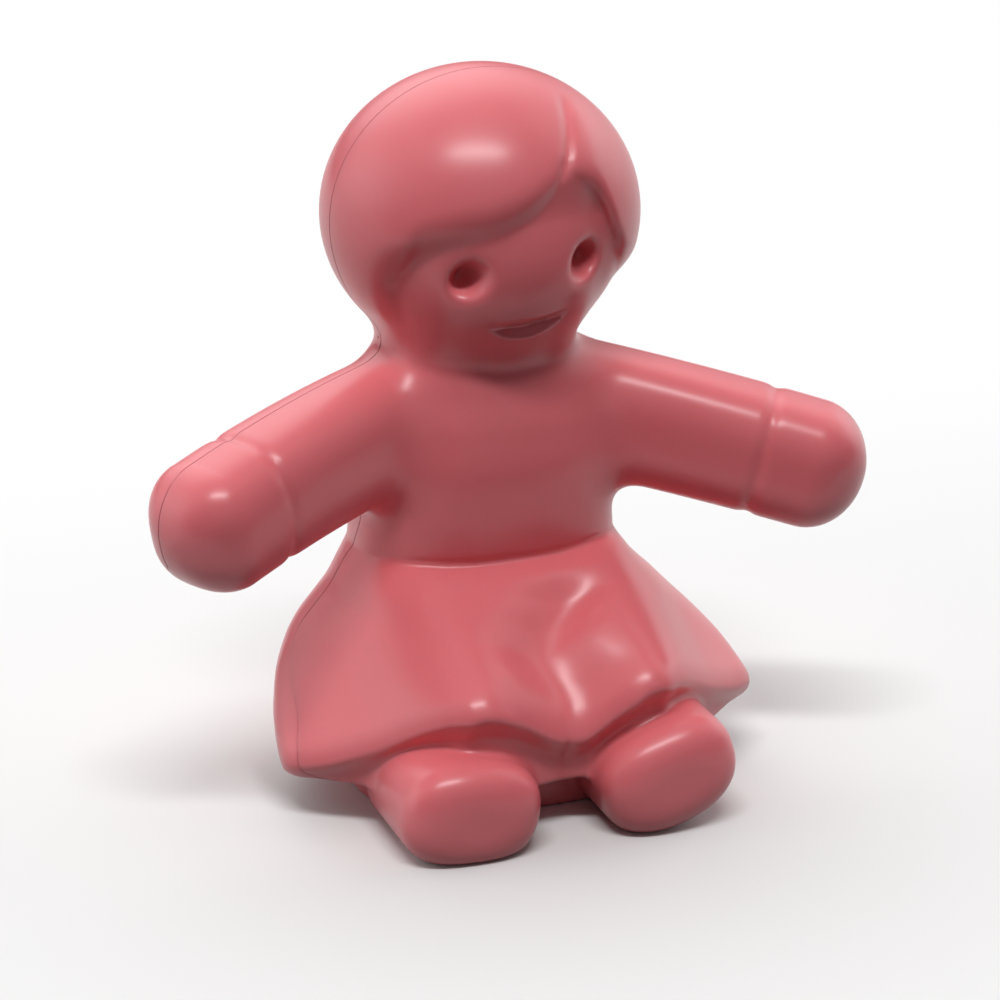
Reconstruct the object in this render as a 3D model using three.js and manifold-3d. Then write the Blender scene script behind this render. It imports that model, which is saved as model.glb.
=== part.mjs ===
// A small seated doll in a dress, moulded in one colour of plastic as a front half and a back half.
// The halves are bonded along the parting line that runs over the head, arms and skirt.
// Millimetres. X points to the figure's left, Y to its back, Z up; the origin is on the seat's underside.
import * as THREE from 'three';
import { mergeVertices } from 'three/addons/utils/BufferGeometryUtils.js';
import Module from 'manifold-3d';

// Moulding
const WALL = 1.5;
const SEAM_GAP = 0.25;
const PIN_DIAMETER = 1.2;
const PIN_REACH = 1.3;
const PIN_CLEARANCE = 0.2;
const BOSS_WALL = 0.6;
const PLASTIC = { color: 0xd8707a, roughness: 0.36, metalness: 0 };

// Head: an egg of hair over a smaller egg of face
const HEAD_HEIGHT = 17.0;
const HEAD_Y = -0.1;
const HAIR_HALF_WIDTH = 4.72;
const HAIR_HALF_DEPTH = 4.56;
const HAIR_HALF_HEIGHT = 4.3;
const FACE_HALF_WIDTH = 3.62;
const FACE_HALF_DEPTH = 4.2;
const FACE_HALF_HEIGHT = 3.75;
const FACE_DROP = 0.8;
const FACE_FORWARD = 0.1;
const FACE_BOTTOM = -6.5;
const FRINGE_BACK = 1.0;
const PARTING_TOP = 3.6;
const PARTING_WIDTH = 0.3;
const PARTING_DEPTH = 0.12;
const EYE_SPACING = 3.47;
const EYE_MIDDLE = 0.07;
const EYE_DROP = 0.93;
const EYE_LEAN = 0.07;
const EYE_WIDTH = 1.1;
const EYE_HEIGHT = 1.2;
const EYE_DEPTH = 0.6;
const EYE_PROUD = 0.08;
const MOUTH_WIDTH = 2.3;
const MOUTH_THICKNESS = 0.4;
const MOUTH_MIDDLE = 0.25;
const MOUTH_DROP = 2.35;
const MOUTH_LEAN = 0.12;
const MOUTH_DEPTH = 0.2;

// Hair line from the temple up to the parting and down again, as shares of the hair's half sizes
const onHead = ([x, z]) => [x * HAIR_HALF_WIDTH, z * HAIR_HALF_HEIGHT];
const FRINGE = [
  [-0.79, -0.47], [-0.72, -0.14], [-0.53, 0], [-0.22, 0.09], [-0.02, 0.2], [0.13, 0.33], [0.254, 0.48],
].map(onHead);
const LOCK = [[0.38, 0.41], [0.53, 0.18], [0.625, -0.02], [0.7, -0.21], [0.76, -0.37]].map(onHead);
const [PARTING_X, PARTING_FOOT] = FRINGE.at(-1);

// Torso: its sections from the bottom up, as shares of the head's height and of the sizes here
const TORSO_HALF_WIDTH = 3.95;
const TORSO_FRONT = 3.45;
const TORSO_BACK = 2.7;
const TORSO = [
  { height: 0.294, halfWidth: 1.06, front: 0.87, back: 1.0, power: 2.5 },
  { height: 0.412, halfWidth: 1.03, front: 0.87, back: 1.0, power: 2.5 },
  { height: 0.512, halfWidth: 1.0, front: 1.0, back: 1.0, power: 2.5 },
  { height: 0.629, halfWidth: 0.95, front: 0.97, back: 0.96, power: 2.5 },
  { height: 0.718, halfWidth: 0.835, front: 0.855, back: 0.93, power: 2.4 },
  { height: 0.776, halfWidth: 0.735, front: 0.8, back: 0.89, power: 2.2 },
  { height: 0.859, halfWidth: 0.685, front: 0.78, back: 0.85, power: 2.2 },
].map(sized(HEAD_HEIGHT, TORSO_HALF_WIDTH, 0, TORSO_FRONT, TORSO_BACK));

// Skirt: its sections from the hem up, as shares of the sizes here; its widest line sweeps forward to the hem
const LAP_HEIGHT = 6.85;
const SKIRT_HALF_WIDTH = 7.4;
const SKIRT_SWEEP = 3.9;
const SKIRT_REACH = 10;
const SKIRT_BACK = 3.35;
const SKIRT = [
  { height: 0.09, halfWidth: 0.995, middle: 1.0, front: 1.0, back: 0.985, power: 2.2 },
  { height: 0.35, halfWidth: 1.005, middle: 0.85, front: 1.0, back: 1.0, power: 2.2 },
  { height: 0.5, halfWidth: 0.953, middle: 0.538, front: 1.0, back: 0.97, power: 2.25 },
  { height: 0.64, halfWidth: 0.851, middle: 0.167, front: 1.0, back: 0.94, power: 2.35 },
  { height: 0.76, halfWidth: 0.75, middle: 0.026, front: 1.0, back: 0.91, power: 2.45 },
  { height: 0.875, halfWidth: 0.65, middle: 0, front: 1.0, back: 0.895, power: 2.5 },
  { height: 0.95, halfWidth: 0.6, middle: 0, front: 1.0, back: 0.88, power: 2.5 },
  { height: 1.0, halfWidth: 0.575, middle: 0, front: 1.0, back: 0.855, power: 2.5 },
  { height: 1.05, halfWidth: 0.48, middle: 0, front: 1.0, back: 0.68, power: 2.5 },
].map(sized(LAP_HEIGHT, SKIRT_HALF_WIDTH, SKIRT_SWEEP, SKIRT_REACH, SKIRT_BACK));
const SKIRT_OFFSET = 0.12;

// Lap: a slope from the waist to the hem, with a valley that deepens forward, and a flank beyond each thigh
const WAIST_Y = -3.3;
const LAP_SLOPE = 0.544;
const VALLEY = [[-7.4, 1.35], [-7.1, 1.0], [-6.7, 0.55], [-6.1, 0.33], [-5.4, 0.2], [-3.2, 0.12], [0, 0]];
const VALLEY_WIDTH = 1.7;
const FLANK_X = 3.5;
const FLANK_Y = -4.2;
const FLANK_SHARE = 0.869;
const FLANK_FALL = 1.0;
const FLANK_SLOPE = 0.57;
const LAP_ROUNDING = 1.2;
const LAP_LEAN = 0.045;

// Hem: the skirt's front edge from its middle to beyond its corner, seen from above, and the wall under it
const HEM = [
  [0, -7.2], [1.2, -7.4], [2.2, -7.65], [2.9, -7.58], [3.6, -7.05], [4.5, -6.2], [5.5, -5.3], [9.0, -2.2],
];
const HEM_LIP = 0.9;
const HEM_SETBACK = 0.45;
const HEM_CORNER_HEIGHT = 1.6;
const HEM_BACK_HEIGHT = 0.9;

// Arms, measured on the figure's left
const SHOULDER_X = 2.2;
const SHOULDER_Y = -0.2;
const SHOULDER_SHARE = 0.65;
const HAND_SPACING = 18.46;
const HAND_Y = -3.6;
const HAND_SHARE = 0.551;
const ARM_LEAN = 0.12;
const ARM_ARCH = 0.25;
const ARM_HALF_HEIGHT = 1.92;
const ARM_HALF_DEPTH = 1.78;
const ARM_POWER = 2.7;
const HAND_LENGTH = 1.5;
const WRIST_CREASE = 0.07;
const WRIST_WIDTH = 0.4;
const HAND_CAP = 1.7;

// Legs and feet
const FOOT_SPACING = 6.24;
const FOOT_MIDDLE = 1.48;
const FOOT_LEAN = 0.05;
const FOOT_HALF_WIDTH = 2.05;
const FOOT_HALF_HEIGHT = 1.55;
const FOOT_POWER = 2.7;
const FOOT_ROLL = THREE.MathUtils.degToRad(13);
const FOOT_TURN = THREE.MathUtils.degToRad(6);
const SOLE_FRONT = -8.45;
const SOLE_ROUNDING = 0.5;
const LEG_BACK = -4.3;

// Seat
const SEAT_HALF_WIDTH = 4.7;
const SEAT_FRONT = -5.2;
const SEAT_BACK = 2.4;
const SEAT_HEIGHT = 2.5;
const SEAT_POWER = 3;

// Hollow: the seat and legs stay solid, so that the doll sits steadily
const HOLLOW_SHARE = 0.67;
const HOLLOW_FLOOR = HOLLOW_SHARE * LAP_HEIGHT;

// Seam: it bends between the skirt, the arms and the head over a short height
const NECK_SHARE = 0.776;
const NECK = NECK_SHARE * HEAD_HEIGHT;
const SEAM_BEND = 2.0;
const SLEEVE_X = 2.6;
const HEAD_SEAM = -0.45;
const SEAM_STEP = 1.4;
const SEAM_REACH = 14;

// Locating pins on the back half, rooted behind the seam, and their sockets in the front half
const CROWN_PIN_RISE = 1.6;
const LAP_PIN_HEIGHT = 3.3;
const HAND_PIN_SHARE = 0.75;
const BODY_PIN_ROOT = 3.0;

// Fineness of the surfaces
const BODY_POINTS = 36;
const BODY_STEP = 0.7;
const EGG_POINTS = 30;
const EGG_LEVELS = 18;
const LIMB_POINTS = 20;
const ROUND_STEP = 18;
const CURVE_POINTS = 10;
const SHEET_STEP = 0.5;
const SHEET_REACH = 9;
const MERGE = 1e-4;

// Half the width of the blocks that cut away everything on one side
const FAR = 30;

const wasm = await Module();
wasm.setup();

// Gives a section that is listed in shares its sizes in millimetres.
function sized(fullHeight, fullWidth, sweep, fullFront, fullBack) {
  return ({ height, halfWidth, middle = 0, front, back, power }) => ({
    height: height * fullHeight,
    halfWidth: halfWidth * fullWidth,
    middle: -middle * sweep,
    front: -front * fullFront,
    back: back * fullBack,
    power,
  });
}

// Turns a closed geometry into a solid that can be joined and cut.
function solid(geometry) {
  geometry.deleteAttribute('normal');
  geometry.deleteAttribute('uv');
  const merged = mergeVertices(geometry, MERGE);
  const vertProperties = Float32Array.from(merged.attributes.position.array);
  const triVerts = Uint32Array.from(merged.index.array);
  return new wasm.Manifold(new wasm.Mesh({ numProp: 3, vertProperties, triVerts }));
}

// Skins a row of rings and closes both ends. Seen from the row's far end, each ring runs anticlockwise.
function loft(rings) {
  const count = rings[0].length;
  const sumOf = ring => ring.reduce((sum, point) => sum.add(point), new THREE.Vector3());
  const middleOf = ring => sumOf(ring).divideScalar(count);
  const points = [...rings.flat(), middleOf(rings[0]), middleOf(rings.at(-1))];
  const last = (rings.length - 1) * count;
  const index = [];
  for (let i = 0; i < count; i++) {
    const j = (i + 1) % count;
    for (let start = 0; start < last; start += count) {
      index.push(start + i, start + j, start + count + j);
      index.push(start + i, start + count + j, start + count + i);
    }
    index.push(points.length - 2, j, i);
    index.push(points.length - 1, last + i, last + j);
  }
  const geometry = new THREE.BufferGeometry().setFromPoints(points);
  geometry.setIndex(index);
  return solid(geometry);
}

const curved = (value, power) => Math.sign(value) * Math.abs(value) ** (2 / power);

// One level ring of the body: a rounded outline with its own front and back depth.
function bodyRing({ height, halfWidth, middle, front, back, power }, inset) {
  const ring = [];
  for (let i = 0; i < BODY_POINTS; i++) {
    const angle = ((i + 0.5) / BODY_POINTS) * Math.PI * 2;
    const x = curved(Math.cos(angle), power) * (halfWidth - inset);
    const depth = Math.sin(angle) < 0 ? middle - front : back - middle;
    ring.push(new THREE.Vector3(x, middle + curved(Math.sin(angle), power) * (depth - inset), height));
  }
  return ring;
}

// Smooth rings through a list of sections, from one height to another.
function bodyRings(sections, { from, to, inset = 0 }) {
  const keys = ['halfWidth', 'middle', 'front', 'back', 'power'];
  const values = sections.flatMap(section => keys.map(key => section[key]));
  const spline = new THREE.CubicInterpolant(sections.map(section => section.height), values, keys.length);
  const steps = Math.ceil((to - from) / BODY_STEP);
  const rings = [];
  for (let i = 0; i <= steps; i++) {
    const height = from + ((to - from) * i) / steps;
    const [halfWidth, middle, front, back, power] = spline.evaluate(height);
    rings.push(bodyRing({ height, halfWidth, middle, front, back, power }, inset));
  }
  return rings;
}

function egg(halfWidth, halfDepth, halfHeight, x, y, z) {
  const geometry = new THREE.SphereGeometry(1, EGG_POINTS, EGG_LEVELS).rotateX(Math.PI / 2);
  return solid(geometry.scale(halfWidth, halfDepth, halfHeight).translate(x, y, z));
}

// Carries an outline drawn in X and Z from one Y to another, front first.
function plate(shape, front, back) {
  const settings = { depth: back - front, bevelEnabled: false, curveSegments: CURVE_POINTS };
  const geometry = new THREE.ExtrudeGeometry(shape, settings);
  return solid(geometry.rotateX(Math.PI / 2).translate(0, back, 0));
}

function rod(diameter, x, z, front, back) {
  const geometry = new THREE.CylinderGeometry(diameter / 2, diameter / 2, back - front, LIMB_POINTS);
  return solid(geometry.translate(x, (front + back) / 2, z));
}

const vectors = pairs => pairs.map(([x, z]) => new THREE.Vector2(x, z));

// Head, with the hair cut back round the face
function faceWindow() {
  const shape = new THREE.Shape();
  shape.moveTo(FRINGE[0][0], FACE_BOTTOM);
  shape.lineTo(...FRINGE[0]);
  shape.splineThru(vectors(FRINGE.slice(1)));
  shape.splineThru(vectors(LOCK));
  shape.lineTo(LOCK.at(-1)[0], FACE_BOTTOM);
  return plate(shape, -FAR, -FRINGE_BACK).translate([0, 0, HEAD_HEIGHT]);
}

function partingGroove() {
  const left = PARTING_X - PARTING_WIDTH / 2;
  const right = PARTING_X + PARTING_WIDTH / 2;
  const foot = PARTING_FOOT - PARTING_WIDTH;
  const corners = [[left, foot], [right, foot], [right, PARTING_TOP], [left, PARTING_TOP]];
  const slot = plate(new THREE.Shape(vectors(corners)), -FAR, 0).translate([0, 0, HEAD_HEIGHT]);
  return slot.subtract(hairEgg(PARTING_DEPTH));
}

const faceHeight = HEAD_HEIGHT - FACE_DROP;
const faceY = HEAD_Y - FACE_FORWARD;

function faceEgg(inset) {
  const sizes = [FACE_HALF_WIDTH, FACE_HALF_DEPTH, FACE_HALF_HEIGHT].map(size => size - inset);
  return egg(...sizes, 0, faceY, faceHeight);
}

function hairEgg(inset) {
  const sizes = [HAIR_HALF_WIDTH, HAIR_HALF_DEPTH, HAIR_HALF_HEIGHT].map(size => size - inset);
  return egg(...sizes, 0, HEAD_Y, HEAD_HEIGHT);
}

function faceFrontAt(x, z) {
  const across = x / FACE_HALF_WIDTH;
  const rise = (z - faceHeight) / FACE_HALF_HEIGHT;
  return faceY - FACE_HALF_DEPTH * Math.sqrt(1 - across ** 2 - rise ** 2);
}

function eye(side) {
  const x = EYE_MIDDLE + (side * EYE_SPACING) / 2;
  const z = HEAD_HEIGHT - EYE_DROP + EYE_LEAN * x;
  return egg(EYE_WIDTH / 2, EYE_DEPTH, EYE_HEIGHT / 2, x, faceFrontAt(x, z) - EYE_PROUD, z);
}

function mouth() {
  const half = MOUTH_WIDTH / 2;
  const rise = half * MOUTH_LEAN;
  const shape = new THREE.Shape();
  shape.moveTo(half, rise);
  shape.lineTo(-half, -rise);
  shape.quadraticCurveTo(0, -2 * MOUTH_THICKNESS, half, rise);
  const place = [MOUTH_MIDDLE, 0, HEAD_HEIGHT - MOUTH_DROP];
  return plate(shape, -FAR, 0).translate(place).subtract(faceEgg(MOUTH_DEPTH));
}

function head() {
  const dressed = hairEgg(0).subtract(faceWindow()).subtract(partingGroove()).add(faceEgg(0));
  return dressed.subtract(eye(-1)).subtract(eye(1)).subtract(mouth());
}

// Arms, a little arched, with a crease between the sleeve and the hand
function armLine(side) {
  const shoulder = new THREE.Vector3(side * SHOULDER_X, SHOULDER_Y, SHOULDER_SHARE * HEAD_HEIGHT);
  const handHeight = HAND_SHARE * HEAD_HEIGHT - side * ARM_LEAN;
  const hand = new THREE.Vector3((side * HAND_SPACING) / 2, HAND_Y, handHeight);
  return new THREE.Line3(shoulder, hand);
}

function arm(side) {
  const line = armLine(side);
  const length = line.distance();
  const along = line.delta(new THREE.Vector3()).normalize();
  const up = new THREE.Vector3(0, 0, 1).projectOnPlane(along).normalize();
  const out = new THREE.Vector3().crossVectors(along, up);
  const ring = (distance, share) => {
    const done = Math.min(distance / length, 1);
    const middle = line.start.clone().addScaledVector(along, distance);
    middle.addScaledVector(up, 4 * ARM_ARCH * done * (1 - done));
    return Array.from({ length: LIMB_POINTS }, (_, i) => {
      const angle = (i / LIMB_POINTS) * Math.PI * 2;
      const rise = curved(Math.cos(angle), ARM_POWER) * ARM_HALF_HEIGHT * share;
      const depth = curved(Math.sin(angle), ARM_POWER) * ARM_HALF_DEPTH * share;
      return middle.clone().addScaledVector(up, rise).addScaledVector(out, depth);
    });
  };
  const wrist = length - HAND_LENGTH;
  const rings = [0, 1 / 3, 2 / 3].map(share => ring(share * (wrist - WRIST_WIDTH), 1));
  rings.push(ring(wrist - WRIST_WIDTH / 2, 1));
  rings.push(ring(wrist, 1 - WRIST_CREASE / ARM_HALF_HEIGHT));
  rings.push(ring(wrist + WRIST_WIDTH / 2, 1), ring(length, 1));
  for (let angle = ROUND_STEP; angle < 90; angle += ROUND_STEP) {
    const turn = THREE.MathUtils.degToRad(angle);
    rings.push(ring(length + HAND_CAP * Math.sin(turn), Math.cos(turn)));
  }
  return loft(rings);
}

// Dress and seat
const easeTo = (value, width) => THREE.MathUtils.smoothstep(value, 0, width);

function curveThrough(points) {
  return new THREE.CubicInterpolant(points.map(([at]) => at), points.map(([, value]) => value), 1);
}

const valley = curveThrough(VALLEY);
const hem = curveThrough(HEM);
const valleyAt = y => valley.evaluate(THREE.MathUtils.clamp(y, VALLEY[0][0], VALLEY.at(-1)[0]))[0];
const hemAt = x => hem.evaluate(Math.min(Math.abs(x), HEM.at(-1)[0]))[0];

// The lower of two heights, rounded off where they are nearly equal.
function lower(a, b, rounding) {
  const share = THREE.MathUtils.clamp(0.5 + (b - a) / (2 * rounding), 0, 1);
  return b + (a - b) * share - rounding * share * (1 - share);
}

// Height of the lap at any X and Y.
function lapAt(x, y) {
  const dip = valleyAt(y) * Math.exp(-((x / VALLEY_WIDTH) ** 2));
  const thighs = LAP_HEIGHT + LAP_SLOPE * (y - WAIST_Y) - dip;
  const fall = FLANK_FALL * (Math.abs(x) - FLANK_X);
  const flank = FLANK_SHARE * LAP_HEIGHT - fall + FLANK_SLOPE * (y - FLANK_Y);
  return lower(thighs, flank, LAP_ROUNDING) + LAP_LEAN * x;
}

const across = [];
for (let x = -SHEET_REACH; x <= SHEET_REACH; x += SHEET_STEP) {
  across.push(x);
}

// Everything under the lap, lowered by the drop.
function underLap(drop) {
  const rings = [];
  for (let y = -SKIRT_REACH; y <= SHEET_REACH; y += SHEET_STEP) {
    const ring = across.map(x => new THREE.Vector3(x, y, Math.max(lapAt(x, y) - drop, -FAR / 2)));
    rings.push([...ring, new THREE.Vector3(SHEET_REACH, y, -FAR), new THREE.Vector3(-SHEET_REACH, y, -FAR)]);
  }
  return loft(rings);
}

// Everything behind the hem's wall, which is set back under the lip.
function behindHem() {
  const ring = (heightAt, setback) => {
    const point = (x, y) => new THREE.Vector3(x, y, heightAt(x));
    const front = across.map(x => point(x, hemAt(x) + setback));
    return [...front, point(SHEET_REACH, FAR), point(-SHEET_REACH, FAR)];
  };
  const lipAt = x => lapAt(x, hemAt(x));
  return loft([
    ring(() => -HEM_LIP, HEM_SETBACK),
    ring(x => lipAt(x) - HEM_LIP, HEM_SETBACK),
    ring(x => lipAt(x) - HEM_LIP / 2, HEM_SETBACK / 2),
    ring(lipAt, 0),
    ring(() => FAR, 0),
  ]);
}

function skirt() {
  const sides = loft(bodyRings(SKIRT, { from: SKIRT[0].height, to: SKIRT.at(-1).height }));
  const front = underLap(0).intersect(behindHem()).translate([SKIRT_OFFSET, 0, 0]);
  return sides.translate([SKIRT_OFFSET, 0, 0]).intersect(front).subtract(belowHem());
}

// The space under the skirt's lower edge, which falls from the sides to the back.
function belowHem() {
  const [lowest] = SKIRT;
  const slope = Math.atan2(HEM_CORNER_HEIGHT - HEM_BACK_HEIGHT, lowest.back - lowest.middle);
  const block = new THREE.BoxGeometry(2 * FAR, 2 * FAR, FAR).translate(0, 0, -FAR / 2).rotateX(-slope);
  return solid(block.translate(0, lowest.back, HEM_BACK_HEIGHT));
}

function seat() {
  const middle = (SEAT_FRONT + SEAT_BACK) / 2;
  const outline = { halfWidth: SEAT_HALF_WIDTH, middle, power: SEAT_POWER };
  const ring = height => bodyRing({ ...outline, height, front: SEAT_FRONT, back: SEAT_BACK }, 0);
  return loft([ring(-SEAT_HEIGHT), ring(SEAT_HEIGHT)]);
}

function leg(side) {
  const ring = (y, share) => Array.from({ length: LIMB_POINTS }, (_, i) => {
    const angle = (i / LIMB_POINTS) * Math.PI * 2;
    const width = -curved(Math.sin(angle), FOOT_POWER) * FOOT_HALF_WIDTH * share;
    const rise = curved(Math.cos(angle), FOOT_POWER) * FOOT_HALF_HEIGHT * share;
    const roll = -side * FOOT_ROLL - FOOT_TURN;
    const place = (side * FOOT_SPACING) / 2;
    const middle = FOOT_MIDDLE + FOOT_LEAN * place;
    const x = place + width * Math.cos(roll) + rise * Math.sin(roll);
    return new THREE.Vector3(x, y, middle - width * Math.sin(roll) + rise * Math.cos(roll));
  });
  const rings = [ring(LEG_BACK, 1), ring(SOLE_FRONT + SOLE_ROUNDING, 1)];
  for (let angle = ROUND_STEP; angle <= 90; angle += ROUND_STEP) {
    const turn = THREE.MathUtils.degToRad(angle);
    const share = 1 - (SOLE_ROUNDING / FOOT_HALF_HEIGHT) * (1 - Math.cos(turn));
    rings.push(ring(SOLE_FRONT + SOLE_ROUNDING * (1 - Math.sin(turn)), share));
  }
  return loft(rings);
}

const aboveFloor = solid(new THREE.BoxGeometry(2 * FAR, 2 * FAR, FAR).translate(0, 0, FAR / 2));

function figure() {
  const torso = loft(bodyRings(TORSO, { from: TORSO[0].height, to: TORSO.at(-1).height }));
  const body = torso.add(skirt()).add(seat()).add(arm(-1)).add(arm(1)).add(head());
  return body.add(leg(-1)).add(leg(1)).intersect(aboveFloor);
}

function hollow() {
  const top = TORSO.at(-1).height;
  const trunk = loft(bodyRings(TORSO, { from: HOLLOW_FLOOR + WALL, to: top, inset: WALL }));
  const lapSpan = { from: HOLLOW_FLOOR, to: LAP_HEIGHT - WALL };
  const drop = WALL * Math.hypot(1, FLANK_FALL, FLANK_SLOPE);
  const room = underLap(drop).intersect(behindHem().translate([0, WALL, 0]));
  const lap = loft(bodyRings(SKIRT, { ...lapSpan, inset: WALL })).intersect(room);
  return trunk.add(lap).add(faceEgg(WALL));
}

const skirtHeights = SKIRT.map(section => section.height);
const skirtMiddle = new THREE.CubicInterpolant(skirtHeights, SKIRT.map(section => section.middle), 1);

// Parting surface: the seam's Y at any X and Z. It follows the skirt's widest line and the arms' middles.
function seamAt(x, z) {
  const line = armLine(1);
  const slope = (line.end.y - line.start.y) / (line.end.x - line.start.x);
  const sleeves = easeTo(z - LAP_HEIGHT, SEAM_BEND) * (1 - easeTo(z - NECK, SEAM_BEND));
  const arms = sleeves * slope * Math.max(0, Math.abs(x) - SLEEVE_X);
  return skirtMiddle.evaluate(z)[0] + arms + HEAD_SEAM * easeTo(z - NECK, SEAM_BEND);
}

// Everything in front of the seam (side -1) or behind it (side 1), half the seam gap away from it.
function halfSpace(side) {
  const rings = [];
  for (let z = -SEAM_STEP; z < FAR; z += SEAM_STEP) {
    const ring = [];
    for (let x = -SEAM_REACH; x <= SEAM_REACH; x += SEAM_STEP) {
      ring.push(new THREE.Vector3(side * x, seamAt(x, z) + (side * SEAM_GAP) / 2, z));
    }
    ring.push(new THREE.Vector3(side * SEAM_REACH, side * FAR, z));
    ring.push(new THREE.Vector3(-side * SEAM_REACH, side * FAR, z));
    rings.push(ring);
  }
  return loft(rings);
}

function pins() {
  const crown = { x: 0, z: HEAD_HEIGHT + CROWN_PIN_RISE, root: BODY_PIN_ROOT };
  const lap = { x: 0, z: LAP_PIN_HEIGHT, root: BODY_PIN_ROOT };
  const hands = [-1, 1].map(side => armLine(side).at(HAND_PIN_SHARE, new THREE.Vector3()));
  return [crown, lap, ...hands.map(({ x, z }) => ({ x, z, root: PIN_REACH }))];
}

function shells() {
  const whole = figure();
  const inside = hollow();
  const places = pins().map(pin => ({ ...pin, seam: seamAt(pin.x, pin.z) }));
  const socketDiameter = PIN_DIAMETER + 2 * PIN_CLEARANCE;
  const bossDiameter = socketDiameter + 2 * BOSS_WALL;
  const socketEnd = PIN_REACH + PIN_CLEARANCE;
  const bosses = places.map(({ x, z, root, seam }) => rod(bossDiameter, x, z, seam - root, seam + SEAM_GAP));
  const sockets = places.map(({ x, z, seam }) =>
    rod(socketDiameter, x, z, seam - socketEnd, seam + PIN_REACH));
  const studs = places.map(({ x, z, root, seam }) => rod(PIN_DIAMETER, x, z, seam - PIN_REACH, seam + root));
  const cutAll = (body, tools) => tools.reduce((rest, tool) => rest.subtract(tool), body);
  const front = whole.intersect(halfSpace(-1)).subtract(cutAll(inside, bosses));
  const back = whole.intersect(halfSpace(1)).subtract(inside);
  return {
    front_shell: cutAll(front, sockets),
    back_shell: studs.reduce((body, stud) => body.add(stud), back),
  };
}

function meshOf(name, body) {
  const { vertProperties, triVerts } = body.getMesh();
  const geometry = new THREE.BufferGeometry();
  geometry.setAttribute('position', new THREE.BufferAttribute(vertProperties, 3));
  geometry.setIndex(new THREE.BufferAttribute(triVerts, 1));
  geometry.computeVertexNormals();
  const mesh = new THREE.Mesh(geometry, new THREE.MeshStandardMaterial(PLASTIC));
  mesh.name = name;
  return mesh;
}

const doll = new THREE.Group();
for (const [name, body] of Object.entries(shells())) {
  doll.add(meshOf(name, body));
}

export default doll;
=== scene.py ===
# %% [markdown]
# # A small seated doll in pink plastic
#
# The doll is about 21 mm tall. It has a round head with a swept fringe, two arms held out, a flared skirt
# over its thighs, and the soles of two feet. A thin parting line runs over its head, arms and skirt, where a
# front half and a back half were bonded. The model has the same two pieces, each standing for one CAD node.

import itertools

import bpy
import numpy as np
from mathutils import Matrix, Vector


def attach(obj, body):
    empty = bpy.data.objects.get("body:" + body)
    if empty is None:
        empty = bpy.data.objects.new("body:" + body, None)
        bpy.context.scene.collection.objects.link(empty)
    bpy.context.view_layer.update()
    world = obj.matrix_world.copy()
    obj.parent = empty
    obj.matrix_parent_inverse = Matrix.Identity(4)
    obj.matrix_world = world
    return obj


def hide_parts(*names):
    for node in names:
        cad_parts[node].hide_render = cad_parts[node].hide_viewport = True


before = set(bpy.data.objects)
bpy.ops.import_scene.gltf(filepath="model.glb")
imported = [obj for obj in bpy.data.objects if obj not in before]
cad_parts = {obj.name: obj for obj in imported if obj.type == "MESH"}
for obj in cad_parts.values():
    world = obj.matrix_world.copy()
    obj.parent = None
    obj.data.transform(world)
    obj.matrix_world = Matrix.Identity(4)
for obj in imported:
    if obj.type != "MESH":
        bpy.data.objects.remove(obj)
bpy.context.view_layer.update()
print("CAD nodes:", sorted(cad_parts))

# %% [markdown]
# ## How the shape is described
#
# Every part of the doll melts into the next one: arms into the chest, chest into the lap, fringe into the
# face. A grid of two parameters, or a profile carried along a path, gives each part well but not the fillets
# between them, and joining finished meshes leaves hard creases. So the doll is a field instead: a function
# that gives roughly the distance to the surface in millimetres, below zero inside. Two fields join with a
# fillet of any size in one line, and the surface is read off at the end. Until then, sizes are in
# millimetres.

# %% Tools for fields
MM = 0.001
TINY = 1e-6


def union(a, b, fillet):
    """The smaller of a and b, lowered by up to a quarter of the fillet where they are nearly equal."""
    share = np.clip(0.5 + 0.5 * (b - a) / fillet, 0, 1)
    return b + (a - b) * share - fillet * share * (1 - share)


def common(a, b, rounding):
    """The larger of a and b, which is the part that both share, raised a little at the edge to round it."""
    return -union(-a, -b, rounding)


def ease(t):
    """0 up to t = 0, 1 from t = 1, and 3 t^2 - 2 t^3 between them."""
    t = np.clip(t, 0, 1)
    return t * t * (3 - 2 * t)


def fade(value, start, end):
    """0 up to the start, 1 from the end on, and an eased rise between; the end may be below the start."""
    return ease((value - start) / (end - start))


def egg(x, y, z, centre, radii):
    """k (k - 1) / g, where k is the distance from the centre in radii, and g is the length of k's slope
    times k."""
    offsets = [x - centre[0], y - centre[1], z - centre[2]]
    k = np.sqrt(sum((o / r) ** 2 for o, r in zip(offsets, radii)))
    slope = np.sqrt(sum((o / r**2) ** 2 for o, r in zip(offsets, radii)))
    return k * (k - 1) / np.maximum(slope, TINY)


def ring(u, v, power):
    """(|u|^n + |v|^n)^(1/n): 1 on an outline that goes from an ellipse at n = 2 to a rounded box."""
    return (np.abs(u) ** power + np.abs(v) ** power + TINY**2) ** (1 / power)


def curve(*points):
    """A function through (t, value) points: cubic pieces whose slope at a point is the harmonic mean of the
    slopes on its two sides, or 0 where those differ in sign, so that it never swings past a point."""
    t, value = np.array(points, float).T
    gap = np.diff(t)
    rise = np.diff(value) / gap
    before, after = rise[:-1], rise[1:]
    same = before * after > 0
    inner = np.where(same, 2 * before * after / np.where(same, before + after, 1), 0)
    slope = np.concatenate([rise[:1], inner, rise[-1:]])

    def at(s):
        s = np.clip(s, t[0], t[-1])
        i = np.clip(np.searchsorted(t, s, side="right") - 1, 0, len(gap) - 1)
        u = (s - t[i]) / gap[i]
        bend = (1 - u) ** 2 * slope[i] - u * (1 - u) * slope[i + 1]
        return value[i] + ease(u) * (value[i + 1] - value[i]) + u * gap[i] * bend

    return at


print("a ball of 1 mm is", float(egg(2.0, 0.0, 0.0, (0, 0, 0), (1, 1, 1))), "mm from a point at 2 mm")

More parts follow.
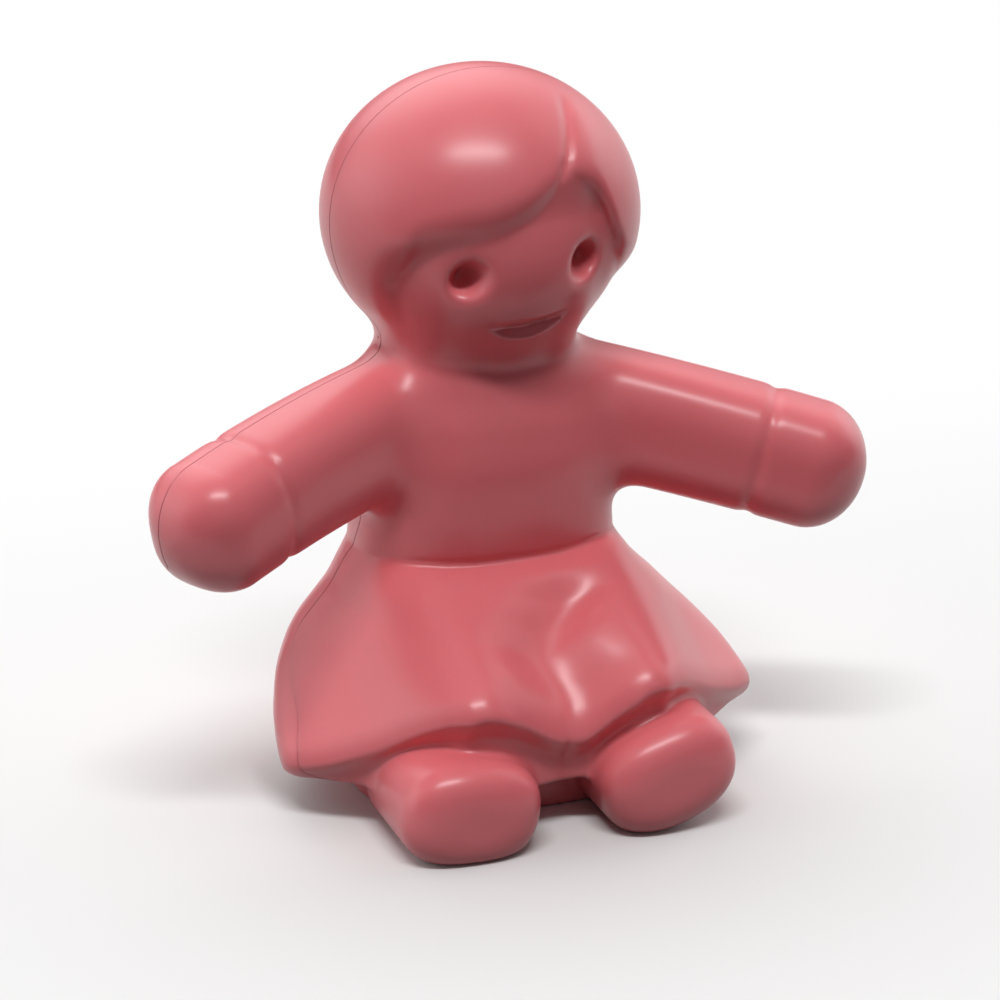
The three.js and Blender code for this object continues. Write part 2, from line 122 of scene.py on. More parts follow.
# %% [markdown]
# ## Hair and face
#
# On the doll the hair is a thick cap over a smaller face, moulded in one. It could be two eggs with a window
# cut in the outer one, but that leaves a step with a sharp edge. The real edge is a soft roll, so the hair's
# thickness is a share between 0 and 1 that rises smoothly outside the window. The window's upper edge sweeps
# from the temple up to the parting and drops steeply on the other side as a lock, which thins out at its tip.
# Heights are counted from the middle of the head.

# %% Hair and face
HEAD = np.array([0.0, -0.1, 17.0])
HAIR = (4.72, 4.56, 4.3)
NAPE, NAPE_ROUNDING = -3.9, 0.8
FACE = (3.74, 4.2, 3.75)
FACE_OFFSET = (0, -0.1, -0.8)
FACE_FILLET = 0.3
HAIR_STEP, LOCK_STEP = 0.55, 0.27
LOCK_STEP_FADE = (2.0, 3.2)
PARTING, PARTING_FOOT = 1.2, 1.95
FRINGE = curve((-4.9, -1.6), (-3.4, -0.95), (-2.93, -0.5), (-2.0, -0.15), (-1.04, 0.1), (-0.08, 0.55),
               (0.6, 1.15), (PARTING, PARTING_FOOT))
LOCK = curve((PARTING, PARTING_FOOT), (1.8, 1.45), (2.37, 0.76), (2.75, -0.1), (3.1, -0.9), (3.5, -1.9),
             (4.2, -2.8), (5.0, -3.2))
CHEEK = curve((-3.9, -2.05), (-3.4, -2.5), (-2.8, -2.87), (-1.8, -3.2), (0.0, -3.4))
WINDOW_BACK = curve((-4.0, -0.6), (-2.8, -0.9), (-1.7, -1.4), (0.5, -1.2), (3.0, -1.0))
LOCK_BACK = 1.0
WINDOW_ROUNDING = 0.6
FRINGE_STEEPNESS = 0.75
LOCK_STEEPNESS, TIP_STEEPNESS = 0.95, 0.45
STEEPNESS_FADE = (0.3, -1.2)
ROLL_SOFTNESS = 0.02
CROWN_FADE = (2.4, 0.4)
TIP_FADE_X = (PARTING, PARTING + 1.0)
TIP_FADE_Y = (LOCK_BACK + 0.5, LOCK_BACK - 0.5)
TIP_FADE_Z = (-1.0, -2.9)


def beyond_window(x, y, z):
    """Distance outside the window: the largest of the height over the fringe or the lock, the way behind the
    window's back and the way past the cheek, with the corners rounded."""
    lock_steepness = LOCK_STEEPNESS + (TIP_STEEPNESS - LOCK_STEEPNESS) * fade(z, *STEEPNESS_FADE)
    over_fringe = (z - FRINGE(x)) * FRINGE_STEEPNESS
    over_lock = (z - LOCK(x)) * lock_steepness
    over = np.where(x < PARTING, over_fringe, over_lock)
    behind = y - np.where(x < PARTING, WINDOW_BACK(z), LOCK_BACK)
    return common(common(over, behind, WINDOW_ROUNDING), CHEEK(z) - x, WINDOW_ROUNDING)


def hair_share(x, y, z):
    """1 - (1 - r)^2 for the distance r outside the window, with a soft start: a roll that is full at 1 mm.
    It is always full on the crown, and runs out to 0 at the lock's tip."""
    outside = beyond_window(x, y, z)
    roll = np.clip(0.5 * (outside + np.sqrt(outside**2 + ROLL_SOFTNESS)), 0, 1)
    tip = fade(x, *TIP_FADE_X) * fade(y, *TIP_FADE_Y) * fade(z, *TIP_FADE_Z)
    return (1 - (1 - roll) ** 2 * fade(z, *CROWN_FADE)) * (1 - tip)


def haired_face(x, y, z):
    """The face egg, filled up to a step below the hair egg, plus the hair's share of the way to that egg."""
    hair = common(egg(x, y - HEAD[1], z, (0, 0, 0), HAIR), NAPE - z, NAPE_ROUNDING)
    step = HAIR_STEP + (LOCK_STEP - HAIR_STEP) * fade(x, *LOCK_STEP_FADE)
    face = union(egg(x, y - HEAD[1], z, FACE_OFFSET, FACE), hair + step, FACE_FILLET)
    return face + hair_share(x, y, z) * (np.minimum(hair, face) - face)


print("head:", 2 * HAIR[0], "mm across the hair,", 2 * FACE[0], "mm across the face")

# %% [markdown]
# ## Eyes, mouth and parting
#
# These are shallow marks in the mould: two round dimples, a crescent, and a groove with a small tuft beside
# it. Each could be a cutter shape, but a depth that is added to the field gives soft edges without one. The
# eyes and the mouth lean a little to one side.

# %% Eyes, mouth and parting
MARKS_FADE = (-1.5, -2.5)
PARTING_LEAN, PARTING_WIDTH, PARTING_DEPTH = 0.4, 0.2, 0.11
PARTING_FOOT_FADE, PARTING_TOP_FADE = (1.5, 2.1), (4.2, 3.3)
TUFT, TUFT_SIZE, TUFT_HEIGHT = (2.1, 2.3), (0.55, 0.9), 0.1
FACE_MIDDLE = -1.5
EYES_X, EYES_UP = (-1.67, 1.8), 0.57
EYE_SIZE, EYE_STEEPNESS, EYE_DEPTH = (0.4, 0.44), 1.35, 0.72
EYES_LEAN, MOUTH_LEAN = np.radians(4), np.radians(7)
MOUTH_X, MOUTH_TOP, MOUTH_BOTTOM = 0.25, -0.76, -1.55
MOUTH_BEND, MOUTH_DEPTH = 0.42, 0.3
UPPER_LIP, LOWER_LIP = 0.34, 0.5


def turned(x, z, angle):
    """Coordinates across and up on the face, turned about its middle."""
    up = z - FACE_MIDDLE
    return x * np.cos(angle) - up * np.sin(angle), up * np.cos(angle) - x * np.sin(angle)


def parting(x, z):
    """Depth of the groove: a bell across a leaning line, eased out at both ends."""
    across = (x - PARTING - PARTING_LEAN * (z - PARTING_FOOT)) / PARTING_WIDTH
    ends = fade(z, *PARTING_FOOT_FADE) * fade(z, *PARTING_TOP_FADE)
    return PARTING_DEPTH * np.exp(-(across**2)) * ends


def tuft(x, z):
    """Height of the tuft: a bell in both directions."""
    across, up = (x - TUFT[0]) / TUFT_SIZE[0], (z - TUFT[1]) / TUFT_SIZE[1]
    return TUFT_HEIGHT * np.exp(-(across**2) - up**2)


def eyes(x, z):
    """Depth of the dimples: exp(-(r^2)^n) for the distance r from an eye's middle in its half sizes."""
    across, up = turned(x, z, EYES_LEAN)
    squares = [((across - eye) / EYE_SIZE[0]) ** 2 + ((up - EYES_UP) / EYE_SIZE[1]) ** 2 for eye in EYES_X]
    return EYE_DEPTH * sum(np.exp(-(square**EYE_STEEPNESS)) for square in squares)


def mouth(x, z):
    """Depth of the crescent, which eases in below a straight line and above a parabola."""
    across, up = turned(x, z, MOUTH_LEAN)
    lower = MOUTH_BOTTOM + MOUTH_BEND * (across - MOUTH_X) ** 2
    below_top = fade(up, MOUTH_TOP, MOUTH_TOP - UPPER_LIP)
    return MOUTH_DEPTH * below_top * fade(up, lower, lower + LOWER_LIP)


def head(x, y, z):
    """The haired face with the depth of its marks added to the field, on the front only."""
    z = z - HEAD[2]
    marks = parting(x, z) - tuft(x, z) + eyes(x, z) + mouth(x, z)
    return haired_face(x, y, z) + fade(y, *MARKS_FADE) * marks


print("marks:", len(EYES_X), "eyes", EYE_DEPTH, "mm deep and a mouth", MOUTH_DEPTH, "mm deep")

# %% [markdown]
# ## Torso and arms
#
# The torso is a plain bodice that bulges at the chest and curls in at the waist. A lathe would make it round,
# so it is a stack of rounded outlines instead, whose width and depth follow curves of the height. An arm is a
# rounded box section along a slightly arched line, with a domed hand and a shallow crease where the sleeve
# ends.

# %% Torso and arms
TORSO_WIDTH = curve((5.0, 4.2), (7.0, 4.05), (8.0, 3.95), (9.5, 3.85), (11.0, 3.7), (12.2, 3.25),
                    (13.2, 2.72), (14.5, 2.5))
TORSO_FRONT = curve((5.0, 2.8), (6.8, 2.8), (7.4, 3.05), (8.6, 3.3), (9.8, 3.4), (11.0, 3.25), (12.2, 2.95),
                    (13.2, 2.75), (14.5, 2.7))
TORSO_BACK = curve((5.0, 2.7), (9.2, 2.7), (11.2, 2.6), (14.5, 2.3))
TORSO_BOTTOM, TORSO_TOP = 5.0, 14.6
TORSO_SQUARENESS = 2.5
NECK_SHIFT, NECK_FADE = 0.25, (12.0, 13.5)
SHOULDER = np.array([2.2, -0.2, 11.05])
HAND = np.array([9.23, -3.6, 9.37])
ARM_LEAN = 0.12
ARM_ARCH = {-1: 0.19, 1: 0.07}
ARM_HEIGHT, ARM_NARROWING = 1.95, 0.08
ARM_DEPTH, ARM_DEEPENING = 1.7, 0.15
ARM_SQUARENESS = 2.7
HAND_DOME, HAND_LENGTH = 1.7, 1.5
WRIST_DEPTH, WRIST_WIDTH = 0.07, 0.2


def torso(x, y, z):
    """(ring - 1) times the smaller half size, with the half sizes taken at the height z."""
    x = x + NECK_SHIFT * fade(z, *NECK_FADE)
    width = TORSO_WIDTH(z)
    depth = np.where(y < 0, TORSO_FRONT(z), TORSO_BACK(z))
    side = (ring(x / width, y / depth, TORSO_SQUARENESS) - 1) * np.minimum(width, depth)
    return np.maximum(side, np.maximum(z - TORSO_TOP, TORSO_BOTTOM - z))


def arm_axes(side):
    """Shoulder, unit vectors along, up and out, and the length of an arm."""
    scale = np.array([side, 1, 1])
    shoulder = SHOULDER * scale
    along = (HAND - (0, 0, side * ARM_LEAN)) * scale - shoulder
    length = np.linalg.norm(along)
    along = along / length
    up = np.array([0, 0, 1]) - along * along[2]
    up = up / np.linalg.norm(up)
    return shoulder, along, up, np.cross(along, up), length


def arm(x, y, z, side):
    """(k - 1) times the half depth, plus a bell-shaped crease at the wrist. Here k is the ring round the
    arched line, and past the line's end the root of the squares of the ring and of the way past it."""
    shoulder, along, up, out, length = arm_axes(side)
    offsets = [x - shoulder[0], y - shoulder[1], z - shoulder[2]]
    t, u, v = (sum(o * a for o, a in zip(offsets, axis)) for axis in (along, up, out))
    on_line = np.clip(t, 0, length)
    share = on_line / length
    u = u - ARM_ARCH[side] * 4 * share * (1 - share)
    half_height = ARM_HEIGHT - ARM_NARROWING * share
    half_depth = ARM_DEPTH + ARM_DEEPENING * share
    section = ring(u / half_height, v / half_depth, ARM_SQUARENESS)
    k = np.sqrt(section**2 + ((t - on_line) / HAND_DOME) ** 2)
    past_wrist = t - length + HAND_LENGTH
    crease = WRIST_DEPTH * np.exp(-((past_wrist / WRIST_WIDTH) ** 2))
    return (k - 1) * half_depth + crease


print("arms:", [round(float(arm_axes(side)[-1]), 2) for side in ARM_ARCH], "mm from shoulder to hand")

# %% [markdown]
# ## Skirt
#
# The skirt lies over two thighs. Its lap slopes from the waist to the hem, with a valley that winds and
# deepens forward between the thighs, and a flank falls away beyond each thigh. Draped cloth would need a
# simulation, but this is a rigid moulding, so the lap is simply a height over the plane. Rounded slices give
# the sides and the back, and at the hem everything stops at a wall that is set back under a lip.

# %% Skirt
WAIST_Y, WAIST_Z = -3.3, 6.85
LAP_SLOPE, LAP_LEAN = 0.49, 0.045
VALLEY = curve((-7.6, 1.97), (-7.2, 1.7), (-6.6, 1.38), (-6.0, 1.15), (-5.0, 0.84), (-4.2, 0.5), (-3.5, 0.0),
               (0, 0))
VALLEY_WIDTH = curve((-7.4, 1.6), (-6.0, 1.3), (-4.8, 1.2), (-3.6, 1.2))
VALLEY_X = curve((-7.4, 0.12), (-6.6, 0.26), (-5.5, 0.0), (-4.9, 0.3), (-4.2, 1.05), (-3.4, 1.4))
FLANK = curve((0, 10.2), (2.9, 7.0), (3.6, 6.1), (4.5, 4.95), (5.5, 3.75), (7.3, 2.1), (8.5, 1.5))
FLANK_Y, FLANK_SLOPE = -4.2, 0.57
THIGH_ROUNDING = 1.4
SKIRT_SIDE = curve((0.5, -4.0), (2.1, -3.6), (2.5, -3.25), (3.0, -2.7), (3.5, -1.95), (4.0, -1.15),
                   (4.5, -0.5), (5.0, -0.1), (6.0, 0.0), (8.0, 0.0))
SKIRT_WIDTH = curve((0.5, 7.35), (2.0, 7.48), (2.5, 7.42), (3.0, 7.25), (3.5, 7.0), (4.0, 6.62), (4.5, 6.18),
                    (5.0, 5.68), (5.5, 5.2), (6.0, 4.74), (6.5, 4.36), (7.0, 4.02), (7.4, 3.5))
SKIRT_BACK = curve((0.5, 3.3), (3.0, 3.3), (5.0, 3.1), (6.5, 2.95), (7.4, 2.2))
SKIRT_FRONT_REACH = 10.0
SKIRT_FRONT_SQUARENESS, SKIRT_BACK_SQUARENESS = 3.0, 2.2
HEM_WALL = curve((0, -7.2), (1.2, -7.4), (2.2, -7.65), (2.9, -7.58), (3.6, -7.05), (4.5, -6.2), (5.5, -5.3),
                 (7.3, -3.7), (8.5, -2.6))
SKIRT_SHIFT = 0.1
HEM_SHIFT, HEM_SHIFT_TOP = 0.05, 4.5
WAIST_SHIFT, WAIST_SHIFT_FADE = 0.15, (5.6, 6.6)
SLOPE_SHARE = 0.8
LAP_TOP, LAP_TOP_ROUNDING = 7.2, 0.4
LIP_SETBACK, LIP_FADE = 0.55, (0.18, 1.08)
SIDE_ROUNDING, LIP_ROUNDING, EDGE_ROUNDING = 0.5, 0.45, 0.2
EDGE_HEIGHT, EDGE_RISE = 1.45, 0.02
EDGE_DROP, EDGE_DROP_Y = 0.1, -2.0


def lap(x, y):
    """Height of the lap: the lower of the slope less a bell-shaped valley and the flank, with a rounding."""
    valley = VALLEY(y) * np.exp(-(((x - VALLEY_X(y)) / VALLEY_WIDTH(y)) ** 2))
    thighs = WAIST_Z + LAP_SLOPE * (y - WAIST_Y) - valley
    flank = FLANK(np.abs(x)) + FLANK_SLOPE * (y - FLANK_Y)
    return union(thighs, flank, THIGH_ROUNDING) + LAP_LEAN * x


def skirt_sides(x, y, z):
    """(ring - 1) times the smaller half size of the slice at the height z, which is squarer in front."""
    width = SKIRT_WIDTH(z)
    middle = SKIRT_SIDE(z)
    in_front = y < middle
    depth = np.where(in_front, middle + SKIRT_FRONT_REACH, SKIRT_BACK(z) - middle)
    squareness = np.where(in_front, SKIRT_FRONT_SQUARENESS, SKIRT_BACK_SQUARENESS)
    return (ring(x / width, (y - middle) / depth, squareness) - 1) * np.minimum(width, depth)


def skirt(x, y, z):
    """What is under the lap, inside the slices and behind the hem wall, above a raised lower edge. The
    distance to a sloped face is about 0.8 of the height over it."""
    hem_shift = HEM_SHIFT * np.maximum(HEM_SHIFT_TOP - z, 0)
    x = x - SKIRT_SHIFT - hem_shift + WAIST_SHIFT * fade(z, *WAIST_SHIFT_FADE)
    top = common(SLOPE_SHARE * (z - lap(x, y)), z - LAP_TOP, LAP_TOP_ROUNDING)
    hem = HEM_WALL(np.abs(x))
    under_lip = lap(x, hem) - z
    wall = SLOPE_SHARE * (hem + LIP_SETBACK * fade(under_lip, *LIP_FADE) - y)
    edge_drop = EDGE_DROP * np.maximum(y - EDGE_DROP_Y, 0)
    lower_edge = EDGE_HEIGHT + EDGE_RISE * np.abs(x) + LAP_LEAN * x - edge_drop
    whole = common(skirt_sides(x, y, z), top, SIDE_ROUNDING)
    whole = common(whole, wall, LIP_ROUNDING)
    return common(whole, lower_edge - z, EDGE_ROUNDING)


print("hem:", round(float(lap(0.0, HEM_WALL(0.0))), 2), "mm high in the valley")

# %% [markdown]
# ## Feet, seat and the whole figure
#
# The feet come out of the hem wall with their flat soles forward, each rolled with its outer side up, and a
# low block under the skirt carries the doll. Each could be a mesh of its own, but then the joints would show
# as creases. So these fields join the others, each with the fillet that the moulding shows there: wide at the
# arms, tight at the waist. The floor cuts the underside flat.

# %% Feet, seat and figure
FOOT_X, FOOT_X_CHANGE = 3.04, 0.08
FOOT_Z, FOOT_LEAN = 1.48, 0.05
FOOT_ROLL, FOOT_ROLL_CHANGE = 13, 4
FOOT_SIZE, FOOT_SQUARENESS, FOOT_THICKNESS = (2.1, 1.6), 2.4, 1.5
SOLE_Y, SOLE_ROUNDING = -8.45, 1.1
LEG_END_Y = -4.3
SEAT_SIZE, SEAT_SQUARENESS = (4.7, 3.8), 3
SEAT_Y, SEAT_TOP = -1.4, 2.5
WAIST_FILLET, ARM_FILLET, NECK_FILLET = 0.2, 0.9, 0.75
SEAT_FILLET, LEG_FILLET = 0.2, 0.25
FLOOR_ROUNDING = 0.2


def feet(x, y, z):
    """(ring - 1) times about the smaller half size, on axes that are rolled a few degrees more at the doll's
    left, running back from the sole."""
    side = np.sign(x)
    roll = np.radians(FOOT_ROLL + FOOT_ROLL_CHANGE * side)
    across = np.abs(x) - FOOT_X - FOOT_X_CHANGE * side
    up = z - FOOT_Z - FOOT_LEAN * x
    u = across * np.cos(roll) + up * np.sin(roll)
    v = up * np.cos(roll) - across * np.sin(roll)
    section = (ring(u / FOOT_SIZE[0], v / FOOT_SIZE[1], FOOT_SQUARENESS) - 1) * FOOT_THICKNESS
    leg = common(section, SOLE_Y - y, SOLE_ROUNDING)
    return np.maximum(leg, y - LEG_END_Y)


def seat(x, y, z):
    """The block under the skirt: (ring - 1) times the smaller half size, up to the block's top."""
    side = (ring(x / SEAT_SIZE[0], (y - SEAT_Y) / SEAT_SIZE[1], SEAT_SQUARENESS) - 1) * SEAT_SIZE[1]
    return np.maximum(side, z - SEAT_TOP)


def figure(x, y, z):
    """All the parts, each joined to the rest with its own fillet, above the floor."""
    whole = union(torso(x, y, z), skirt(x, y, z), WAIST_FILLET)
    for side in ARM_ARCH:
        whole = union(whole, arm(x, y, z, side), ARM_FILLET)
    whole = union(whole, head(x, y, z), NECK_FILLET)
    lower = union(feet(x, y, z), seat(x, y, z), SEAT_FILLET)
    return common(union(whole, lower, LEG_FILLET), -z, FLOOR_ROUNDING)


print("middle of the head:", round(float(-figure(*HEAD)), 2), "mm under the surface")

# %% [markdown]
# ## Two halves
#
# The parting surface follows the skirt's widest line, the middle of each arm and the head's side. Each half
# could be cut from a finished mesh, but the cut is cleaner in the field: a half is the figure on one side of
# the parting surface, a few hundredths of a millimetre short of it, so that the bond shows as a fine line.

# %% Parting surface
SEAM_GAP = 0.05
HEAD_SEAM, HEAD_SEAM_FADE = -0.45, (13.0, 16.0)
SLEEVE_START = 2.6
SLEEVES_FROM, SLEEVES_TO = (6.6, 8.6), (13.0, 14.5)
ARM_SWEEP = (HAND[1] - SHOULDER[1]) / (HAND[0] - SHOULDER[0])


def seam(x, y, z):
    """Distance in y behind the parting surface: the skirt's line, plus the way the sleeves sweep forward at
    their height, plus a small shift at the head."""
    sleeves = fade(z, *SLEEVES_FROM) * (1 - fade(z, *SLEEVES_TO))
    sweep = ARM_SWEEP * np.maximum(0, np.abs(x) - SLEEVE_START)
    return y - (SKIRT_SIDE(z) + sleeves * sweep + HEAD_SEAM * fade(z, *HEAD_SEAM_FADE))


print("the parting surface is at y =", round(float(-seam(HAND[0], 0.0, HAND[2])), 2), "mm at the hands")

# %% [markdown]
# ## From field to mesh
#
# The field is sampled on a grid of points. Each cell that the surface crosses gets one vertex, and each grid
# edge that it crosses gets one quad between the four cells round it. Marching cubes would do too, but it
# leaves thin triangles that show in the gloss.

# %% Sample the field
STEP = 0.12
LOW, HIGH = np.array([-11.3, -9.0, -0.5]), np.array([11.3, 4.9, 21.7])
SLABS = 12
CORNERS = list(itertools.product((0, 1), repeat=3))


def sampled():
    """The figure and the seam on the grid's points, a slab of planes at a time."""
    axes = [np.arange(low, high, STEP) for low, high in zip(LOW, HIGH)]
    y, z = axes[1][None, :, None], axes[2][None, None, :]
    slabs = [slab[:, None, None] for slab in np.array_split(axes[0], SLABS)]
    figures = np.concatenate([figure(x, y, z) for x in slabs])
    seams = np.concatenate([seam(x, y, z) for x in slabs])
    return figures, np.broadcast_to(seams, figures.shape)


def corner(values, offset):
    """The value at one corner of every cell."""
    return values[tuple(slice(o, n - 1 + o) for o, n in zip(offset, values.shape))]


def changes(values):
    """True in the cells that have corners on both sides of zero."""
    inside = sum(corner(values < 0, offset).astype(np.int8) for offset in CORNERS)
    return (inside > 0) & (inside < len(CORNERS))


figures, seams = sampled()
print("grid:", figures.shape, "points,", int(changes(figures).sum()), "cells on the surface")

# %% Make quads
COARSE = 4


def axes_from(axis):
    """Whole-number unit vectors along an axis and along the two that follow it."""
    unit = np.eye(3, dtype=int)
    return unit[axis], unit[(axis + 1) % 3], unit[(axis + 2) % 3]


def crossings(values, active, axis):
    """Sum and count, for each active cell, of the points where the surface crosses its edges along an axis:
    each at the share first / (first - second) of its edge."""
    along, u, v = axes_from(axis)
    total, count = np.zeros((active.sum(), 3)), np.zeros((active.sum(), 1))
    for a, b in itertools.product((0, 1), repeat=2):
        offset = a * u + b * v
        first, second = (corner(values, o)[active] for o in (offset, offset + along))
        crossed = (first < 0) != (second < 0)
        share = first / np.where(crossed, first - second, 1)
        total += crossed[:, None] * (offset + share[:, None] * along)
        count += crossed[:, None]
    return total, count


def quads_round(values, number, axis):
    """A quad round each grid edge along an axis that the surface crosses, turned to face outward."""
    _, u, v = axes_from(axis)
    inside = values < 0
    flips = np.diff(inside.astype(np.int8), axis=axis)
    inner = [slice(1, -1)] * 3
    inner[axis] = slice(None)
    at = np.argwhere(flips[tuple(inner)]) + u + v
    cells = ((0, 0), (1, 0), (1, 1), (0, 1))
    quad = np.stack([number[tuple((at - a * u - b * v).T)] for a, b in cells], 1)
    leaving = inside[tuple(at.T)]
    return np.where(leaving[:, None], quad, quad[:, ::-1])


def dual_mesh(values):
    """A vertex at the mean crossing of every active cell, the quads, and which cells are active."""
    active = changes(values)
    number = np.full(active.shape, -1)
    number[active] = np.arange(active.sum())
    totals, counts = zip(*(crossings(values, active, axis) for axis in range(3)))
    points = LOW + STEP * (np.argwhere(active) + sum(totals) / sum(counts))
    return points, np.concatenate([quads_round(values, number, axis) for axis in range(3)]), active


coarse_quads = dual_mesh(figures[::COARSE, ::COARSE, ::COARSE])[1]
print("on every fourth point:", len(coarse_quads), "quads")

# %% [markdown]
# ## Onto the surface
#
# The vertices then move along the field's slope until they lie on the surface itself, and those in a cell on
# the seam's edge move onto both surfaces, which keeps that edge clean. Cells that the surface only just cuts
# give thin quads, which show as blotches in the gloss, so in some turns the vertices first move toward the
# mean of their neighbours. Shading normals come from the field's slope, so highlights stay smooth.

# %% Tools that move vertices
DIFFERENCE = 0.01
LONGEST_MOVE = 0.2
LEAST_SLOPE = 1e-3


def slope_of(field, points):
    """Value and slope of a field at points, from differences over 0.01 mm to each side."""
    value = field(*points.T)
    sides = [(points + DIFFERENCE * e, points - DIFFERENCE * e) for e in np.eye(3)]
    slope = [field(*ahead.T) - field(*behind.T) for ahead, behind in sides]
    return value, np.stack(slope, 1) / (2 * DIFFERENCE)


def onto(points, value, slope):
    """Moves points along the slope by value / slope^2, to where the value is 0, within a longest move."""
    move = -value / np.maximum((slope**2).sum(1), LEAST_SLOPE)
    return points + np.clip(move, -LONGEST_MOVE, LONGEST_MOVE)[:, None] * slope


def evened(points, quads, held):
    """Points moved half way to the mean of their neighbours, apart from those that are held."""
    ends = np.concatenate([quads[:, [k, (k + 1) % 4]] for k in range(4)])
    count = np.bincount(ends[:, 0], minlength=len(points))
    means = [np.bincount(ends[:, 0], axis[ends[:, 1]], len(points)) / count for axis in points.T]
    return np.where(held[:, None], points, 0.5 * points + 0.5 * np.stack(means, 1))


crown = HEAD[None] + (0, 0, HAIR[2])
print("slope of the field at the crown:", np.round(slope_of(figure, crown)[1], 2))

# %% Make the halves
TURNS, EVENING_TURNS = 6, (2, 3, 4)


def half(figures, seams, side):
    """Vertices, quads and normals of the half behind the parting surface (side 1) or in front (side -1): the
    larger of the figure's field and the distance to that half's side of the gap."""
    def cutter(x, y, z):
        return SEAM_GAP / 2 - side * seam(x, y, z)

    cuts = SEAM_GAP / 2 - side * seams
    points, quads, active = dual_mesh(np.maximum(figures, cuts))
    on_edge = (changes(figures) & changes(cuts))[active]
    for turn in range(TURNS):
        if turn in EVENING_TURNS:
            points = evened(points, quads, on_edge)
        figure_value, figure_slope = slope_of(figure, points)
        cut_value, cut_slope = slope_of(cutter, points)
        outside = on_edge | (figure_value > cut_value)
        points = np.where(outside[:, None], onto(points, figure_value, figure_slope), points)
        points = np.where((on_edge | ~outside)[:, None], onto(points, *slope_of(cutter, points)), points)
    normals = np.where(outside[:, None], figure_slope, cut_slope)
    return points, quads, normals / np.linalg.norm(normals, axis=1, keepdims=True)


def add_piece(name, points, quads, normals):
    """A mesh object in metres with its place in the mesh and normals of its own."""
    mesh = bpy.data.meshes.new(name)
    mesh.from_pydata(points * MM, [], quads.tolist())
    mesh.polygons.foreach_set("use_smooth", np.ones(len(quads), bool))
    mesh.normals_split_custom_set_from_vertices(normals)
    piece = bpy.data.objects.new(name, mesh)
    bpy.context.scene.collection.objects.link(piece)
    return piece


front = add_piece("doll_front", *half(figures, seams, -1))
back = add_piece("doll_back", *half(figures, seams, 1))
stands_for = ((front, "front_shell", "pink_plastic_front"), (back, "back_shell", "pink_plastic_back"))
for piece, node, slot in stands_for:
    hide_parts(node)
    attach(piece, "root")
    print(piece.name, len(piece.data.vertices), "vertices", 2 * len(piece.data.polygons), "triangles")

# %% [markdown]
# ## Plastic
#
# The doll is moulded in a soft salmon-pink plastic against a polished mould, so its skin is glossy and it
# lets a little light in, which warms the shadows. One flat colour would look like paint, so two noises make
# it uneven. Clouds about 4 mm wide change the tone and the gloss, as mixing and handling do, and a grain of
# about a tenth of a millimetre breaks up the highlights.

# %% Plastic
PINK, PALE_PINK = "#ec757d", "#f07f86"
CLOUDS_PER_MM, CLOUD_DETAIL = 0.26, 2.0
GLOSS = {"From Min": 0.2, "From Max": 0.8, "To Min": 0.28, "To Max": 0.33}
GRAINS_PER_MM, GRAIN_DETAIL = 9.0, 1.0
GRAIN_STRENGTH, GRAIN_HEIGHT = 0.08, 0.01
GLOW_SHARE, GLOW_DEPTH, GLOW_COLOURS = 0.25, 0.6, (1.0, 0.35, 0.3)


def linear(hex_colour):
    """An sRGB colour as linear light: c / 12.92 up to 0.04045, else ((c + 0.055) / 1.055)^2.4."""
    c = np.array([int(hex_colour[i:i + 2], 16) for i in (1, 3, 5)]) / 255
    return (*np.where(c <= 0.04045, c / 12.92, ((c + 0.055) / 1.055) ** 2.4), 1.0)


def add_node(owner, kind, settings=None, links=None):
    """Adds a shader node, sets its properties and input values, and links inputs to other nodes' outputs."""
    tree = owner.node_tree
    made = tree.nodes.new(kind)
    for key, value in (settings or {}).items():
        if key in made.inputs:
            made.inputs[key].default_value = value
        else:
            setattr(made, key, value)
    for key, (source, output) in (links or {}).items():
        tree.links.new(source.outputs[output], made.inputs[key])
    return made


def plastic(name):
    """Cloudy tone and gloss, a grain as bump, and light that goes in a little way, red the furthest."""
    material = bpy.data.materials.new(name)
    material.use_nodes = True
    where = {"Vector": (add_node(material, "ShaderNodeTexCoord"), "Object")}
    cloud_size = {"Scale": CLOUDS_PER_MM / MM, "Detail": CLOUD_DETAIL}
    clouds = add_node(material, "ShaderNodeTexNoise", cloud_size, where)
    pinks = {"data_type": "RGBA", "A": linear(PINK), "B": linear(PALE_PINK)}
    tone = add_node(material, "ShaderNodeMix", pinks, {"Factor": (clouds, "Fac")})
    gloss = add_node(material, "ShaderNodeMapRange", GLOSS, {"Value": (clouds, "Fac")})
    grain_size = {"Scale": GRAINS_PER_MM / MM, "Detail": GRAIN_DETAIL}
    grain = add_node(material, "ShaderNodeTexNoise", grain_size, where)
    relief = {"Strength": GRAIN_STRENGTH, "Distance": GRAIN_HEIGHT * MM}
    bump = add_node(material, "ShaderNodeBump", relief, {"Height": (grain, "Fac")})
    shader = material.node_tree.nodes["Principled BSDF"]
    shader.inputs["Subsurface Weight"].default_value = GLOW_SHARE
    shader.inputs["Subsurface Radius"].default_value = GLOW_COLOURS
    shader.inputs["Subsurface Scale"].default_value = GLOW_DEPTH * MM
    material.node_tree.links.new(tone.outputs["Result"], shader.inputs["Base Color"])
    material.node_tree.links.new(gloss.outputs["Result"], shader.inputs["Roughness"])
    material.node_tree.links.new(bump.outputs["Normal"], shader.inputs["Normal"])
    return material


front.data.materials.append(plastic("salmon_pink_plastic_front"))
back.data.materials.append(plastic("salmon_pink_plastic_back"))
print("materials:", [piece.data.materials[0].name for piece in (front, back)])

# %% [markdown]
# ## Floor
#
# The doll sits on a sheet of white card, which is pressed from pulp and so quite matt. A plain white sheet
# would throw so much light back that the shaded front of the doll would go pale. So the card is pale only
# where the camera or a reflection sees it, and grey for the light that it sends on. Behind the doll it goes
# over to plain white, as an overexposed background does, and near the doll it keeps the shadows.

